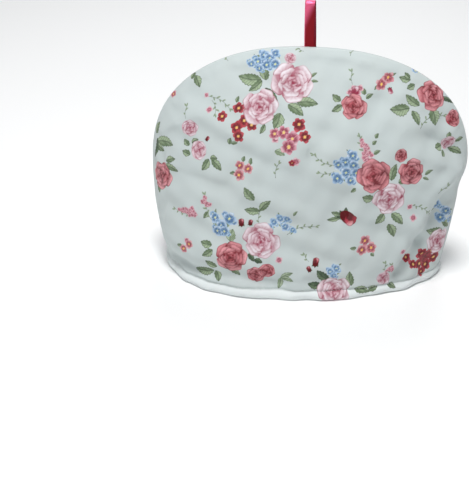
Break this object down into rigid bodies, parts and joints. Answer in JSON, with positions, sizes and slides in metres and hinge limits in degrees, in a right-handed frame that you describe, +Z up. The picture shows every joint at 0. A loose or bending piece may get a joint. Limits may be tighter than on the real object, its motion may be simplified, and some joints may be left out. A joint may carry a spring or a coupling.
{
  "type": "tea cosy",
  "caption": "Dome-shaped wadded tea cosy that stands on its hem, in two floral cotton panels with a ribbon loop at the top.",
  "frame": {"origin": "on the surface that the hem rests on, under the middle of the whole cosy's box", "axes": "+Z up, X along the cosy's width with the front seen from -Y, so +X is to the right in the picture and +Y runs from front to back"},
  "size_m": [0.3274, 0.1636, 0.2905],
  "materials": {
    "printed_cotton": "matte",
    "satin_ribbon": "satin"
  },
  "bodies": {
    "root": {"front_panel": "printed_cotton", "back_panel": "printed_cotton", "hanging_loop": "satin_ribbon"}
  },
  "joints": []
}
